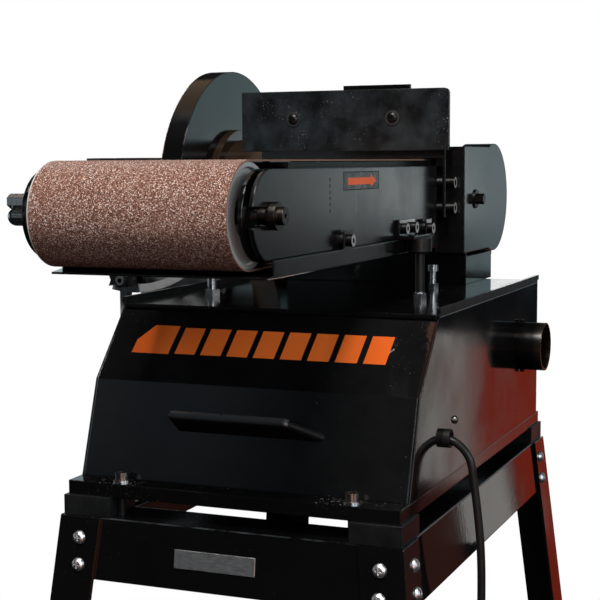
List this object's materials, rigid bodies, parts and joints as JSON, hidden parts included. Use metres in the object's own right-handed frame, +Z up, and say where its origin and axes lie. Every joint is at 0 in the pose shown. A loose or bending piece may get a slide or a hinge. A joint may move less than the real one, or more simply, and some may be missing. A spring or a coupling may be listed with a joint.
{
  "type": "belt and disc sander on stand",
  "caption": "Stationary sander: a wide abrasive belt on a tilting arm, a sanding disc with a tilting table, a sloped sheet-metal base with motor and dust port, and a splayed steel stand.",
  "frame": {"origin": "on the floor, in the middle of the four floor-bolt holes of the stand", "axes": "+X to the operator's right, +Y from the operator to the machine's rear, +Z up"},
  "size_m": [0.5059, 0.6637, 0.9852],
  "materials": {
    "black_paint": "gloss",
    "slate_paint": "satin",
    "zinc": "satin",
    "steel": "satin",
    "alloy": "satin",
    "rubber": "matte",
    "abrasive": "rough",
    "black_plastic": "satin",
    "green_plastic": "gloss",
    "red_plastic": "gloss",
    "cast_table": "satin",
    "motor_paint": "satin"
  },
  "bodies": {
    "frame": {"leg_front_left": "black_paint", "leg_front_right": "black_paint", "leg_rear_left": "black_paint", "leg_rear_right": "black_paint", "end_rails": "black_paint", "side_rails": "black_paint", "foot_pads": "rubber", "stand_bolts": "zinc", "mount_pads": "rubber", "base_pan": "black_paint", "front_panel": "black_paint", "side_panel_left": "black_paint", "side_panel_right": "black_paint", "rear_panel": "black_paint", "top_lid": "black_paint", "front_visor": "black_paint", "base_screws": "steel", "dust_port": "black_plastic", "cable_gland": "rubber", "power_cord": "rubber", "cord_coil": "rubber", "mains_plug": "rubber", "motor_body": "motor_paint", "switch_box": "black_plastic", "pedestal": "black_paint", "drive_housing": "black_paint", "spindle_bearings": "steel", "v_belt": "rubber", "disc_guard": "slate_paint", "table_bracket": "black_paint", "table_shaft": "steel", "rest_posts": "zinc"},
    "arm": {"arm_plate_left": "black_paint", "arm_plate_right": "black_paint", "side_cover": "slate_paint", "platen": "steel", "lower_guard": "black_paint", "abrasive_belt": "abrasive", "rear_cover": "slate_paint", "work_stop": "black_paint", "stop_bracket": "black_paint", "arm_screws": "zinc", "arm_rest_bracket": "black_paint"},
    "spindle": {"spindle_shaft": "steel", "spindle_pulley": "steel", "drive_drum": "alloy", "sanding_disc": "alloy", "disc_abrasive": "abrasive"},
    "motor": {"motor_rotor": "steel", "motor_pulley": "steel"},
    "carrier": {"idler_axle": "steel", "tracking_block": "steel"},
    "idler": {"idler_drum": "alloy", "idler_bearings": "steel"},
    "table": {"disc_table": "cast_table", "table_leg": "black_paint"},
    "knob": {"lock_knob": "black_plastic"},
    "start": {"start_button": "green_plastic"},
    "stop": {"stop_button": "red_plastic"}
  },
  "joints": [
    {"name": "arm_tilt", "type": "hinge", "parent": "frame", "child": "arm", "pos_m": [0, 0.2065, 0.8561], "axis": [-1, 0, 0], "range_deg": [0, 90]},
    {"name": "spindle_spin", "type": "hinge", "parent": "frame", "child": "spindle", "pos_m": [0, 0.2065, 0.8561], "axis": [1, 0, 0], "continuous": true},
    {"name": "motor_spin", "type": "hinge", "parent": "frame", "child": "motor", "pos_m": [0, 0.12, 0.7051], "axis": [1, 0, 0], "continuous": true},
    {"name": "idler_release", "type": "slide", "parent": "arm", "child": "carrier", "axis": [0, 1, 0], "range_m": [0, 0.008], "stiffness_N_per_m": 8000},
    {"name": "idler_spin", "type": "hinge", "parent": "carrier", "child": "idler", "pos_m": [0, -0.28852, 0.8561], "axis": [1, 0, 0], "continuous": true},
    {"name": "table_tilt", "type": "hinge", "parent": "frame", "child": "table", "pos_m": [-0.226, 0, 0.8721], "axis": [0, -1, 0], "range_deg": [0, 45]},
    {"name": "knob_turn", "type": "hinge", "parent": "table", "child": "knob", "pos_m": [-0.2322, 0, 0.77881], "axis": [0, 1, 0], "range_deg": [0, 180]},
    {"name": "start_press", "type": "slide", "parent": "frame", "child": "start", "axis": [1, 0, 0], "range_m": [0, 0.004], "stiffness_N_per_m": 300},
    {"name": "stop_press", "type": "slide", "parent": "frame", "child": "stop", "axis": [1, 0, 0], "range_m": [0, 0.004], "stiffness_N_per_m": 300}
  ],
  "couplings": [
    {"joint": "motor_spin", "follows": "spindle_spin", "ratio": 1},
    {"joint": "idler_spin", "follows": "spindle_spin", "ratio": 1}
  ]
}
